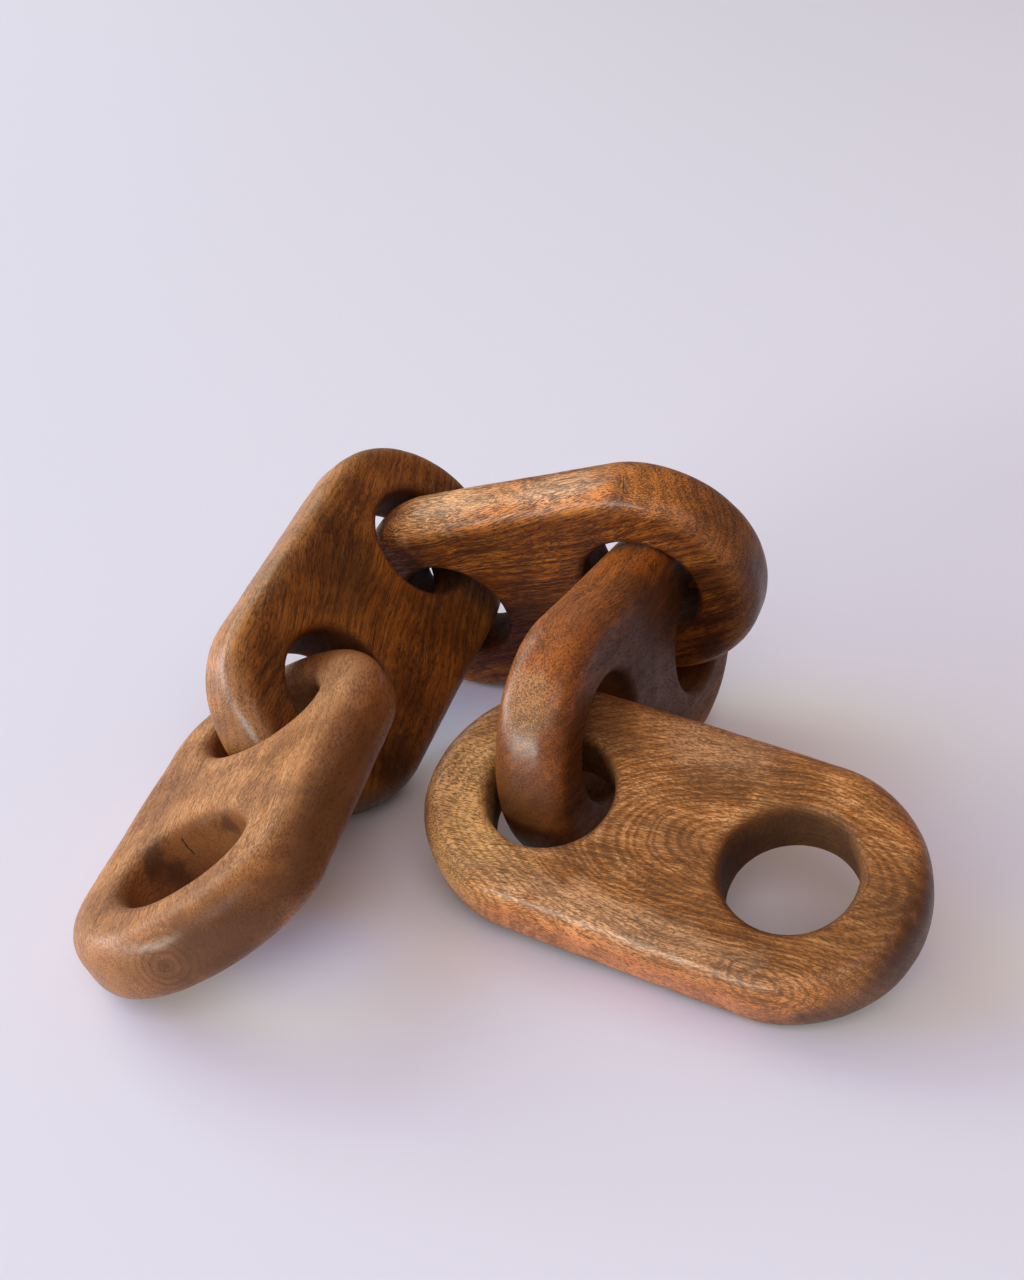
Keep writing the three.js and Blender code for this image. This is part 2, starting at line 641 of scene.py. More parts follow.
        # Each value is about 0.5 on average, so the body colour lies at half their sum
        middle = (1 + HEARTWOOD_SHARE + self.ring_strength + self.band_strength) / 2
        spread = add_node(
            tree,
            "ShaderNodeMapRange",
            inputs={
                "Value": mixed.outputs["Value"],
                "From Min": middle - TONE_SPREAD,
                "From Max": middle + TONE_SPREAD,
            },
        )
        wood = add_node(tree, "ShaderNodeValToRGB", inputs={"Fac": spread.outputs["Result"]})
        ramp = wood.color_ramp
        ramp.elements[0].color = linear_colour(self.pale)
        ramp.elements[1].color = linear_colour(self.deep)
        between = ramp.elements.new(0.5)
        between.color = linear_colour(self.body)
        edge = add_node(tree, "ShaderNodeAttribute", {"attribute_name": "edge"})
        edge_share = add_node(
            tree,
            "ShaderNodeMath",
            {"operation": "MULTIPLY"},
            {0: edge.outputs["Fac"], 1: EDGE_SHARE},
        )
        edged = add_node(
            tree,
            "ShaderNodeMix",
            {"data_type": "RGBA", "blend_type": "MIX"},
            {
                "Factor": edge_share.outputs["Value"],
                "A": wood.outputs["Color"],
                "B": linear_colour(self.edge),
            },
        )
        return edged.outputs["Result"]

    def layered(
        self,
        tree: bpy.types.NodeTree,
        colour: bpy.types.NodeSocket,
        mask: bpy.types.NodeSocket,
        strength: float,
        ink: str,
    ) -> bpy.types.NodeSocket:
        """Lay a colour over the wood where a mask is.

        Args:
            tree: The material's node tree.
            colour: The colour so far.
            mask: Where the new colour lies.
            strength: How much of it lies there.
            ink: The new colour as a hex code.

        Returns:
            The colour with the new layer.
        """
        share = add_node(
            tree, "ShaderNodeMath", {"operation": "MULTIPLY"}, {0: mask, 1: strength}
        )
        laid = add_node(
            tree,
            "ShaderNodeMix",
            {"data_type": "RGBA", "blend_type": "MIX"},
            {"Factor": share.outputs["Value"], "A": colour, "B": linear_colour(ink)},
        )
        return laid.outputs["Result"]

    def aged_and_shaded(
        self,
        tree: bpy.types.NodeTree,
        grain: bpy.types.NodeSocket,
        colour: bpy.types.NodeSocket,
    ) -> bpy.types.NodeSocket:
        """Darken the wood in clouds and on the end grain, where oil soaked in, and in the holes,
        where the darkening is partly soaked oil and partly painted shade.

        Args:
            tree: The material's node tree.
            grain: The link's own coordinates.
            colour: The colour so far.

        Returns:
            The aged colour, with the painted shade in the holes.
        """
        cloud = add_node(
            tree,
            "ShaderNodeTexNoise",
            inputs={"Vector": grain, "Scale": OIL_CLOUDS, "Detail": 5.0, "Roughness": 0.6},
        )
        clouds = add_node(
            tree,
            "ShaderNodeMapRange",
            {"interpolation_type": "SMOOTHSTEP"},
            {"Value": cloud.outputs["Fac"], "From Min": 0.42, "From Max": 0.66},
        )
        dim = clouds.outputs["Result"]
        colour = self.layered(tree, colour, dim, self.patina_strength, self.patina)
        bore = add_node(tree, "ShaderNodeAttribute", {"attribute_name": "bore"})
        end = add_node(tree, "ShaderNodeAttribute", {"attribute_name": "end_grain"})
        soaked_and_shaded = add_node(
            tree,
            "ShaderNodeMath",
            {"operation": "MULTIPLY_ADD"},
            {0: bore.outputs["Fac"], 1: BORE_OIL_AND_SHADE, 2: end.outputs["Fac"]},
        )
        return self.layered(tree, colour, soaked_and_shaded.outputs["Value"], SOAKED_AND_SHADED_SHARE, self.deep)

    def lay_stains_and_painted_light(
        self,
        tree: bpy.types.NodeTree,
        grain: bpy.types.NodeSocket,
        colour: bpy.types.NodeSocket,
    ) -> bpy.types.NodeSocket:
        """Lay the link's stains, painted shade and painted highlights over its colour, with ragged
        edges.

        Args:
            tree: The material's node tree.
            grain: The link's own coordinates.
            colour: The colour so far.

        Returns:
            The colour with the stains and the painted light.
        """
        ragged = add_node(
            tree,
            "ShaderNodeTexNoise",
            inputs={"Vector": grain, "Scale": STAIN_AND_LIGHT_RAGS, "Detail": 4.0, "Roughness": 0.6},
        )
        pushed = add_node(
            tree,
            "ShaderNodeVectorMath",
            {"operation": "MULTIPLY_ADD"},
            {0: ragged.outputs["Color"], 1: STAIN_AND_LIGHT_RAGGEDNESS, 2: grain},
        )
        for tone_or_light in self.stains_and_painted_light:
            middle = Vector(tone_or_light.place) + Vector(STAIN_AND_LIGHT_RAGGEDNESS) / 2
            around = add_node(
                tree,
                "ShaderNodeMapping",
                {"vector_type": "TEXTURE"},
                {"Vector": pushed.outputs["Vector"], "Location": middle, "Scale": tone_or_light.reach},
            )
            away = add_node(
                tree, "ShaderNodeVectorMath", {"operation": "LENGTH"}, {0: around.outputs["Vector"]}
            )
            inside = add_node(
                tree,
                "ShaderNodeMapRange",
                {"interpolation_type": "SMOOTHSTEP"},
                {"Value": away.outputs["Value"], "From Min": STAIN_AND_LIGHT_RIM, "From Max": STAIN_AND_LIGHT_CORE},
            )
            share = inside.outputs["Result"]
            colour = self.layered(tree, colour, share, tone_or_light.strength, tone_or_light.colour)
        return colour

    def knotted(
        self,
        tree: bpy.types.NodeTree,
        grain: bpy.types.NodeSocket,
        colour: bpy.types.NodeSocket,
        knot: Knot,
    ) -> bpy.types.NodeSocket:
        """Draw one knot into the colour.

        Args:
            tree: The material's node tree.
            grain: The link's own coordinates.
            colour: The colour so far.
            knot: The knot.

        Returns:
            The colour with the knot.
        """
        around = add_node(
            tree,
            "ShaderNodeMapping",
            {"vector_type": "TEXTURE"},
            {"Vector": grain, "Location": knot.place, "Scale": (knot.stretch, 1.0, 1.0)},
        )
        away = add_node(
            tree, "ShaderNodeVectorMath", {"operation": "LENGTH"}, {0: around.outputs["Vector"]}
        )
        ripple = add_node(
            tree,
            "ShaderNodeTexNoise",
            inputs={"Vector": grain, "Scale": KNOT_RIPPLES, "Detail": 2.0},
        )
        phase = add_node(
            tree,
            "ShaderNodeMath",
            {"operation": "MULTIPLY_ADD"},
            {0: ripple.outputs["Fac"], 1: KNOT_WAVER, 2: away.outputs["Value"]},
        )
        turned = add_node(
            tree,
            "ShaderNodeMath",
            {"operation": "MULTIPLY"},
            {0: phase.outputs["Value"], 1: 2 * math.pi / knot.ring_gap},
        )
        wave = add_node(tree, "ShaderNodeMath", {"operation": "SINE"}, {0: turned.outputs["Value"]})
        ring = add_node(
            tree,
            "ShaderNodeMapRange",
            {"interpolation_type": "SMOOTHSTEP"},
            {"Value": wave.outputs["Value"], "From Min": -0.2, "From Max": 1.0},
        )
        near = add_node(
            tree,
            "ShaderNodeMapRange",
            {"interpolation_type": "SMOOTHSTEP"},
            {
                "Value": away.outputs["Value"],
                "From Min": knot.spread,
                "From Max": 0.3 * knot.spread,
            },
        )
        ring_share = add_node(
            tree,
            "ShaderNodeMath",
            {"operation": "MULTIPLY"},
            {0: ring.outputs["Result"], 1: near.outputs["Result"]},
        )
        colour = self.layered(tree, colour, ring_share.outputs["Value"], knot.strength, self.pore)
        heart = add_node(
            tree,
            "ShaderNodeMapRange",
            {"interpolation_type": "SMOOTHSTEP"},
            {
                "Value": away.outputs["Value"],
                "From Min": knot.heart,
                "From Max": 0.2 * knot.heart,
            },
        )
        return self.layered(tree, colour, heart.outputs["Result"], HEART_SHARE, self.pore)

    def cracked(
        self,
        tree: bpy.types.NodeTree,
        grain: bpy.types.NodeSocket,
        colour: bpy.types.NodeSocket,
        marks: bpy.types.NodeSocket | None,
        crack: Crack,
    ) -> tuple[bpy.types.NodeSocket, bpy.types.NodeSocket]:
        """Draw one crack into the colour and into the relief's mask.

        Args:
            tree: The material's node tree.
            grain: The link's own coordinates.
            colour: The colour so far.
            marks: The mask of the cracks so far, if there are any.
            crack: The crack.

        Returns:
            The colour with the crack, and the mask with it.
        """
        start = Vector(crack.start)
        along = Vector(crack.end) - start
        waver = Vector((CRACK_WAVER, CRACK_WAVER, CRACK_WAVER))
        jitter = add_node(
            tree,
            "ShaderNodeTexNoise",
            inputs={"Vector": grain, "Scale": CRACK_JITTER, "Detail": 2.0},
        )
        uneven = add_node(
            tree,
            "ShaderNodeVectorMath",
            {"operation": "MULTIPLY_ADD"},
            {0: jitter.outputs["Color"], 1: waver, 2: grain},
        )
        offset = add_node(
            tree,
            "ShaderNodeVectorMath",
            {"operation": "SUBTRACT"},
            {0: uneven.outputs["Vector"], 1: start + waver / 2},
        )
        share = add_node(
            tree,
            "ShaderNodeVectorMath",
            {"operation": "DOT_PRODUCT"},
            {0: offset.outputs["Vector"], 1: along / along.length_squared},
        )
        held = add_node(tree, "ShaderNodeClamp", inputs={"Value": share.outputs["Value"]})
        nearest = add_node(
            tree,
            "ShaderNodeVectorMath",
            {"operation": "SCALE"},
            {0: along, "Scale": held.outputs["Result"]},
        )
        away = add_node(
            tree,
            "ShaderNodeVectorMath",
            {"operation": "DISTANCE"},
            {0: offset.outputs["Vector"], 1: nearest.outputs["Vector"]},
        )
        line = add_node(
            tree,
            "ShaderNodeMapRange",
            {"interpolation_type": "SMOOTHSTEP"},
            {
                "Value": away.outputs["Value"],
                "From Min": crack.width,
                "From Max": 0.3 * crack.width,
            },
        )
        mask = line.outputs["Result"]
        colour = self.layered(tree, colour, mask, CRACK_SHARE, CRACK_DARK)
        if marks is not None:
            both = add_node(tree, "ShaderNodeMath", {"operation": "MAXIMUM"}, {0: marks, 1: mask})
            mask = both.outputs["Value"]
        return colour, mask

    def polish(self, tree: bpy.types.NodeTree) -> bpy.types.NodeSocket:
        """Give the oil's sheen, which hands have rubbed up on the edges.

        Args:
            tree: The material's node tree.

        Returns:
            The coat's weight.
        """
        edge = add_node(tree, "ShaderNodeAttribute", {"attribute_name": "edge"})
        sheen = add_node(
            tree,
            "ShaderNodeMapRange",
            inputs={"Value": edge.outputs["Fac"], "To Min": 0.04, "To Max": 0.42},
        )
        return sheen.outputs["Result"]

    def gloss(
        self,
        tree: bpy.types.NodeTree,
        grain: bpy.types.NodeSocket,
        flecks: bpy.types.NodeSocket,
    ) -> bpy.types.NodeSocket:
        """Give the satin roughness, duller where the oil has worn and in the pores.

        Args:
            tree: The material's node tree.
            grain: The link's own coordinates.
            flecks: The fleck value.

        Returns:
            The roughness.
        """
        wear = add_node(
            tree, "ShaderNodeTexNoise", inputs={"Vector": grain, "Scale": OIL_WEAR, "Detail": 3.0}
        )
        satin = add_node(
            tree,
            "ShaderNodeMapRange",
            inputs={
                "Value": wear.outputs["Fac"],
                "From Min": 0.3,
                "From Max": 0.7,
                "To Min": self.roughness,
                "To Max": self.roughness + WORN_ROUGHNESS,
            },
        )
        rough = add_node(
            tree,
            "ShaderNodeMath",
            {"operation": "MULTIPLY_ADD"},
            {0: flecks, 1: PORE_ROUGHNESS, 2: satin.outputs["Result"]},
        )
        bore = add_node(tree, "ShaderNodeAttribute", {"attribute_name": "bore"})
        dull = add_node(
            tree,
            "ShaderNodeMath",
            {"operation": "MULTIPLY_ADD", "use_clamp": True},
            {0: bore.outputs["Fac"], 1: BORE_ROUGHNESS, 2: rough.outputs["Value"]},
        )
        return dull.outputs["Value"]

    def relief(
        self,
        tree: bpy.types.NodeTree,
        fibre: bpy.types.NodeSocket,
        streaks: bpy.types.NodeSocket,
        flecks: bpy.types.NodeSocket,
        marks: bpy.types.NodeSocket | None,
    ) -> bpy.types.NodeSocket:
        """Give the fine relief: open pores, sunk streaks, raised fibres and the cracks.

        Args:
            tree: The material's node tree.
            fibre: The fibre value.
            streaks: The streak value.
            flecks: The fleck value.
            marks: The mask of the cracks, if there are any.

        Returns:
            The bent normal.
        """
        height = add_node(
            tree, "ShaderNodeMath", {"operation": "MULTIPLY"}, {0: flecks, 1: PORE_RELIEF}
        )
        others = ((fibre, FIBRE_RELIEF), (streaks, STREAK_RELIEF), (marks, CRACK_RELIEF))
        for part, amount in others:
            if part is not None:
                height = add_node(
                    tree,
                    "ShaderNodeMath",
                    {"operation": "MULTIPLY_ADD"},
                    {0: part, 1: amount, 2: height.outputs["Value"]},
                )
        bump = add_node(
            tree,
            "ShaderNodeBump",
            inputs={"Height": height.outputs["Value"], "Strength": 0.6, "Distance": RELIEF_UNIT},
        )
        return bump.outputs["Normal"]


@dataclass(frozen=True)
class LinkBlank:
    """The bare form of a link: a plank with two holes, sanded soft.

    Its x axis runs along its length, y across its width and z through its
    thickness. All sizes are in metres. The softening is how many times its
    surface is sanded over.
    """

    name: str
    length: float = 150 * MM
    width: float = 77 * MM
    thickness: float = 22.5 * MM
    hole_diameter: float = 38 * MM
    hole_inset: float = 38 * MM
    edge_roll_width: float = 6.5 * MM
    edge_roll_depth: float = 8.5 * MM
    rim_roll_width: float = 2.6 * MM
    rim_roll_depth: float = 3 * MM
    cutter_overrun: float = 1 * MM
    roll_steps: int = 8
    ring_points: int = 96
    voxel: float = 0.8 * MM
    softening: int = 6

    def build(self) -> bpy.types.Object:
        """Make the blank in its own frame.

        Returns:
            The blank, from which the links are copied.
        """
        blank = self.round_plank()
        for end in LinkEnd:
            self.bore(blank, end)
        self.sand(blank)
        self.mark_surfaces(blank)
        return blank

    def round_plank(self) -> bpy.types.Object:
        """Make the plank with full round ends and rolled edges.

        Returns:
            The plank, without its holes.
        """
        bpy.ops.object.select_all(action="DESELECT")
        bpy.ops.mesh.primitive_cylinder_add(
            vertices=self.ring_points,
            radius=self.width / 2,
            depth=self.thickness - 2 * self.edge_roll_depth,
            end_fill_type="NGON",
            location=(0, 0, 0),
            rotation=(0, 0, math.pi / self.ring_points),
        )
        plank = bpy.context.object
        plank.name = plank.data.name = self.name
        bpy.ops.object.transform_apply(location=True, rotation=True, scale=True)
        for end in LinkEnd:
            self.draw_out(plank, end)
        for face in Face:
            self.roll_edge(plank, face)
        return plank

    def draw_out(self, disc: bpy.types.Object, end: LinkEnd) -> None:
        """Move one half of a round disc out to its end of the plank.

        Args:
            disc: The disc, which is as wide as the plank.
            end: The end that the half belongs to.
        """
        self.select_nothing(disc)
        for vertex in disc.data.vertices:
            vertex.select = vertex.co.x * end.value > 0
        shift = (self.length - self.width) / 2
        bpy.ops.object.mode_set(mode="EDIT")
        bpy.ops.mesh.select_mode(type="VERT")
        bpy.ops.transform.translate(value=(end.value * shift, 0, 0))
        bpy.ops.mesh.select_all(action="DESELECT")
        bpy.ops.object.mode_set(mode="OBJECT")

    def roll_edge(self, plank: bpy.types.Object, face: Face) -> None:
        """Roll the plank's edge over to one of its broad faces.

        Args:
            plank: The plank, whose broad faces are still flat there.
            face: The broad face.
        """
        self.select_cap(plank, face)
        bpy.ops.object.mode_set(mode="EDIT")
        bpy.ops.mesh.select_mode(type="FACE")
        inset, height = 0.0, 0.0
        for next_inset, next_height in self.quarter_round(
            self.edge_roll_width, self.edge_roll_depth
        ):
            bpy.ops.mesh.inset(thickness=next_inset - inset, depth=next_height - height)
            inset, height = next_inset, next_height
        bpy.ops.mesh.select_all(action="DESELECT")
        bpy.ops.mesh.select_mode(type="VERT")
        bpy.ops.object.mode_set(mode="OBJECT")

    def quarter_round(self, width: float, depth: float) -> list[tuple[float, float]]:
        """Give the points of a roll, from the side of the wood to its face.

        Args:
            width: How far the roll reaches in from the side.
            depth: How far it reaches up to the face.

        Returns:
            How far in and how far up each point is, without the first.
        """
        angles = [math.pi / 2 * step / self.roll_steps for step in range(1, self.roll_steps + 1)]
        return [(width * (1 - math.cos(angle)), depth * math.sin(angle)) for angle in angles]

    def select_nothing(self, piece: bpy.types.Object) -> None:
        """Clear every selected point, edge and face of a piece, in object mode."""
        for parts in (piece.data.vertices, piece.data.edges, piece.data.polygons):
            parts.foreach_set("select", [False] * len(parts))

    def select_cap(self, piece: bpy.types.Object, face: Face) -> None:
        """Select the one end face of a piece that looks up or down.

        Args:
            piece: The piece, in object mode.
            face: Which of its two end faces.
        """
        self.select_nothing(piece)
        for polygon in piece.data.polygons:
            polygon.select = polygon.normal.z * face.value > STRAIGHT_UP

    def bore(self, plank: bpy.types.Object, end: LinkEnd) -> None:
        """Cut one hole with its rounded rims.

        Args:
            plank: The plank.
            end: The end that the hole is near.
        """
        middle = end.value * (self.length / 2 - self.hole_inset)
        bpy.ops.object.select_all(action="DESELECT")
        bpy.ops.mesh.primitive_cylinder_add(
            vertices=self.ring_points,
            radius=self.hole_diameter / 2,
            depth=self.thickness - 2 * self.rim_roll_depth,
            end_fill_type="NGON",
            location=(middle, 0, 0),
        )
        cutter = bpy.context.object
        bpy.ops.object.transform_apply(location=True, rotation=True, scale=True)
        for face in Face:
            self.flare(cutter, middle, face)
        bpy.ops.object.select_all(action="DESELECT")
        plank.select_set(True)
        bpy.context.view_layer.objects.active = plank
        cut = plank.modifiers.new("hole", "BOOLEAN")
        cut.operation = "DIFFERENCE"
        cut.solver = "EXACT"
        cut.object = cutter
        bpy.ops.object.modifier_apply(modifier=cut.name)
        bpy.data.objects.remove(cutter, do_unlink=True)

    def flare(self, cutter: bpy.types.Object, middle: float, face: Face) -> None:
        """Open a hole's cutter out towards one face, and let it reach past the wood.

        Args:
            cutter: The cutter, still straight towards that face.
            middle: The hole's place along the link.
            face: The face.
        """
        self.select_cap(cutter, face)
        bpy.ops.object.mode_set(mode="EDIT")
        bpy.ops.mesh.select_mode(type="FACE")
        radius, height = self.hole_diameter / 2, 0.0
        for wider, next_height in self.quarter_round(self.rim_roll_width, self.rim_roll_depth):
            next_radius = self.hole_diameter / 2 + wider
            lift = (0, 0, face.value * (next_height - height))
            bpy.ops.mesh.extrude_region_move(TRANSFORM_OT_translate={"value": lift})
            grow = next_radius / radius
            bpy.ops.transform.resize(value=(grow, grow, 1), center_override=(middle, 0, 0))
            radius, height = next_radius, next_height
        past = (0, 0, face.value * self.cutter_overrun)
        bpy.ops.mesh.extrude_region_move(TRANSFORM_OT_translate={"value": past})
        bpy.ops.mesh.select_all(action="DESELECT")
        bpy.ops.mesh.select_mode(type="VERT")
        bpy.ops.object.mode_set(mode="OBJECT")

    def sand(self, link: bpy.types.Object) -> None:
        """Give the link an even fine mesh and sand its arrises soft.

        Args:
            link: The link with its holes.
        """
        even = link.modifiers.new("even", "REMESH")
        even.mode = "VOXEL"
        even.voxel_size = self.voxel
        bpy.ops.object.modifier_apply(modifier=even.name)
        soft = link.modifiers.new("soft", "SMOOTH")
        soft.factor = 0.5
        soft.iterations = self.softening
        bpy.ops.object.modifier_apply(modifier=soft.name)
        bpy.ops.object.shade_smooth()

    def mark_surfaces(self, link: bpy.types.Object) -> None:
        """Note on each point how far it is on a rolled edge, in a bore or end grain.

        Args:
            link: The sanded link, still in its own frame.
        """
        mesh = link.data
        count = len(mesh.vertices)
        places = np.empty(count * 3)
        mesh.vertices.foreach_get("co", places)
        places = places.reshape(-1, 3)
        normals = np.empty(count * 3)
        mesh.vertex_normals.foreach_get("vector", normals)
        normals = normals.reshape(-1, 3)
        straight = (self.length - self.width) / 2
        over = np.maximum(np.abs(places[:, 0]) - straight, 0)
        inward = self.width / 2 - np.hypot(over, places[:, 1])
        hole_x = self.length / 2 - self.hole_inset
        from_bore = np.hypot(np.abs(places[:, 0]) - hole_x, places[:, 1]) - self.hole_diameter / 2
        # Both marks fade out on the flat face, a little past the rolls
        edge = np.clip(1 - inward / (1.3 * self.edge_roll_width), 0, 1)
        bore = np.clip(1 - from_bore / (1.2 * self.rim_roll_width), 0, 1)
        end_grain = np.abs(normals[:, 0]) ** 2
        for name, values in {"edge": edge, "bore": bore, "end_grain": end_grain}.items():
            layer = mesh.attributes.new(name, "FLOAT", "POINT")
            layer.data.foreach_set("value", values.astype(np.float32))


@dataclass(frozen=True)
class CarvedLink:
    """One link of the chain: a copy of a blank, carved, placed and oiled."""

    node: str
    blank: LinkBlank
    pose: Pose
    finish: OiledMango
    hand_carving: float = 0.7 * MM

    def build(self, blank_piece: bpy.types.Object) -> bpy.types.Object:
        """Copy the blank, put the copy in its place and dress it.

        Args:
            blank_piece: The built blank that this link is made from.

        Returns:
            The finished link.
        """
        link = self.copied(blank_piece)
        self.place(link)
        self.carve_by_hand(link)
        self.settle(link)
        link.data.materials.clear()
        link.data.materials.append(self.finish.material(self.pose, self.centre()))
        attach(link, "root")
        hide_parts(self.node)
        return link

    def centre(self) -> Vector:
        """Return the middle of the link's CAD node, in metres."""
        low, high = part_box(self.node)
        return (low + high) / 2

    def copied(self, blank_piece: bpy.types.Object) -> bpy.types.Object:
        """Copy the blank with a mesh of its own and select the copy alone.

        Args:
            blank_piece: The built blank.

        Returns:
            The copy.
        """
        link = blank_piece.copy()
        link.data = blank_piece.data.copy()
        link.name = link.data.name = f"carved_{self.node}"
        bpy.context.scene.collection.objects.link(link)
        bpy.ops.object.select_all(action="DESELECT")
        link.select_set(True)
        bpy.context.view_layer.objects.active = link
        return link

    def place(self, link: bpy.types.Object) -> None:
        """Put the link in its place, in its mesh."""
        link.matrix_world = self.pose.matrix(self.centre())
        bpy.ops.object.transform_apply(location=True, rotation=True, scale=True)

    def carve_by_hand(self, link: bpy.types.Object) -> None:
        """Let the surface swell and dip slightly, as a rasp and sandpaper leave it.

        Args:
            link: The placed link. The unevenness follows its place, so that no
                two links are alike.
        """
        for name, spacing, height in SWELLS:
            cloud = bpy.data.textures.new(f"{self.node}_{name}", "CLOUDS")
            cloud.noise_scale = spacing
            cloud.noise_depth = 1
            swell = link.modifiers.new(name, "DISPLACE")
            swell.texture = cloud
            swell.texture_coords = "LOCAL"
            swell.mid_level = 0.5
            swell.strength = self.hand_carving * height
            bpy.ops.object.modifier_apply(modifier=swell.name)

    def settle(self, link: bpy.types.Object) -> None:
        """Let the link down on the table, because the carving took wood off its edges.

        Args:
            link: The carved link.
        """
        lowest = min(vertex.co.z for vertex in link.data.vertices)
        link.location = (0, 0, -lowest)
        bpy.ops.object.transform_apply(location=True, rotation=True, scale=True)


@dataclass(frozen=True)
class MattPaint:
    """Matt wall paint, rolled on board: the eye sees it pale, even and nearly without gloss."""

    name: str = "matt_painted_board"
    colour: str = "#e6e4e8"
    roughness: float = 0.7

    def material(self) -> bpy.types.Material:
        """Make the paint.

        Returns:
            The finished material.
        """
        material = bpy.data.materials.new(self.name)
        material.use_nodes = True
        tree = material.node_tree
        tree.nodes.clear()
        shader = add_node(
            tree,
            "ShaderNodeBsdfPrincipled",
            inputs={
                "Base Color": linear_colour(self.colour),
                "Roughness": self.roughness,
                "Specular IOR Level": 0.25,
            },
        )
        add_node(tree, "ShaderNodeOutputMaterial", inputs={"Surface": shader.outputs["BSDF"]})
        return material


@dataclass(frozen=True)
class TableTop:
    """The pale table that the chain lies on, which isn't part of it."""

    reach: float = 20.0
    finish: MattPaint = MattPaint()

    def build(self) -> bpy.types.Object:
        """Make the table top.

        Returns:
            The table top.
        """
        bpy.ops.object.select_all(action="DESELECT")
        bpy.ops.mesh.primitive_plane_add(size=2 * self.reach, location=(0, 0, 0))
        table = bpy.context.object
        table.name = "table_top"
        table.data.materials.append(self.finish.material())
        return table


@dataclass(frozen=True)
class SoftLamp:
    """A large soft lamp that shines at the chain.

    Its place is given by its heading and height in degrees, as seen from the
    chain, and by its distance in metres. Its power is in watts. A tinted lamp
    that only fills the shadows isn't mirrored in the oil.
    """

    name: str
    heading: float
    height: float
    distance: float
    size: tuple[float, float]
    power: float
    colour: str
    mirrored: bool = True

    def build(self) -> None:
        """Make the lamp, turned towards the chain."""
        lamp = bpy.data.lights.new(self.name, "AREA")
        lamp.shape = "RECTANGLE"
        lamp.size, lamp.size_y = self.size
        lamp.energy = self.power
        lamp.color = linear_colour(self.colour)[:3]
        holder = bpy.data.objects.new(self.name, lamp)
        level = self.distance * math.cos(math.radians(self.height))
        holder.location = (
            level * math.cos(math.radians(self.heading)),
            level * math.sin(math.radians(self.heading)),
            self.distance * math.sin(math.radians(self.height)),
        )
        holder.rotation_euler = (-holder.location).to_track_quat("-Z", "Y").to_euler()
        holder.visible_glossy = self.mirrored
        bpy.context.scene.collection.objects.link(holder)


@dataclass(frozen=True)
class Studio:
    """The soft light round the chain and the camera at the picture's angle.

    The camera looks down by its pitch in degrees. Its place is in metres, and
    its lens and the width of its film are in millimetres.
    """

    sky: str = "#fff4e6"
    sky_strength: float = 0.32
    camera_place: tuple[float, float, float] = (3.12 * MM, -502.0 * MM, 321.5 * MM)
    camera_pitch: float = 27.5
    lens: float = 52.56
    film_width: float = 36.0
    # Name, heading, height, distance, size, power and colour of each lamp
    lamps: tuple[SoftLamp, ...] = (
        SoftLamp("window_left", 180.0, 36.0, 6.0, (4.5, 4.0), 120.0, "#4088ff", False),
        SoftLamp("window_back", 140.0, 30.0, 6.0, (4.0, 3.5), 140.0, "#e0fff8"),
        SoftLamp("low_left", 194.0, 8.0, 6.0, (4.0, 1.5), 130.0, "#e0f2ff"),
        SoftLamp("low_front_left", 225.0, 8.0, 6.0, (3.0, 1.5), 295.0, "#eafbf6"),
        SoftLamp("low_back_left", 160.0, 8.0, 6.0, (3.0, 1.5), 155.0, "#fff2f8"),
        SoftLamp("front", 270.0, 45.0, 6.0, (4.0, 4.0), 110.0, "#f8f0ff"),
        SoftLamp("warm_ceiling", 210.0, 82.0, 5.0, (12.0, 12.0), 90.0, "#ffa684", False),
    )

    def build(self) -> None:
        """Make the sky, the lamps and the camera."""
        self.make_sky()
        for lamp in self.lamps:
            lamp.build()
        self.place_camera()
        bpy.context.scene.view_settings.view_transform = "Standard"
        bpy.context.scene.view_settings.look = "None"

    def make_sky(self) -> None:
        """Make the dim even light that comes from all round."""
        world = bpy.data.worlds.new("soft_sky")
        world.use_nodes = True
        tree = world.node_tree
        tree.nodes.clear()
        sky = add_node(
            tree,
            "ShaderNodeBackground",
            inputs={"Color": linear_colour(self.sky), "Strength": self.sky_strength},
        )
        add_node(tree, "ShaderNodeOutputWorld", inputs={"Surface": sky.outputs["Background"]})
        bpy.context.scene.world = world

    def place_camera(self) -> None:
        """Put the camera in its place, level and looking down at its pitch."""
        lens = bpy.data.cameras.new("camera")
        lens.lens = self.lens
        lens.sensor_width = self.film_width
        lens.sensor_fit = "AUTO"
        lens.clip_start = 0.01
        lens.clip_end = 100.0
        camera = bpy.data.objects.new("camera", lens)
        camera.location = self.camera_place
        camera.rotation_euler = (math.radians(90 - self.camera_pitch), 0, 0)
        bpy.context.scene.collection.objects.link(camera)
        bpy.context.scene.camera = camera


@dataclass(frozen=True)
class CarvedChain:
    """The five links, from the left end to the right end."""

    links: tuple[CarvedLink, ...]

    def build(self) -> list[bpy.types.Object]:
        """Build each blank once and make the links from it, in order.

        Returns:
            The finished links.
        """
        blanks: dict[str, bpy.types.Object] = {}
        made = []
        for link in self.links:
            name = link.blank.name
            if name not in blanks:
                blanks[name] = link.blank.build()
            made.append(link.build(blanks[name]))
        for blank in blanks.values():
            bpy.data.objects.remove(blank, do_unlink=True)
        return made
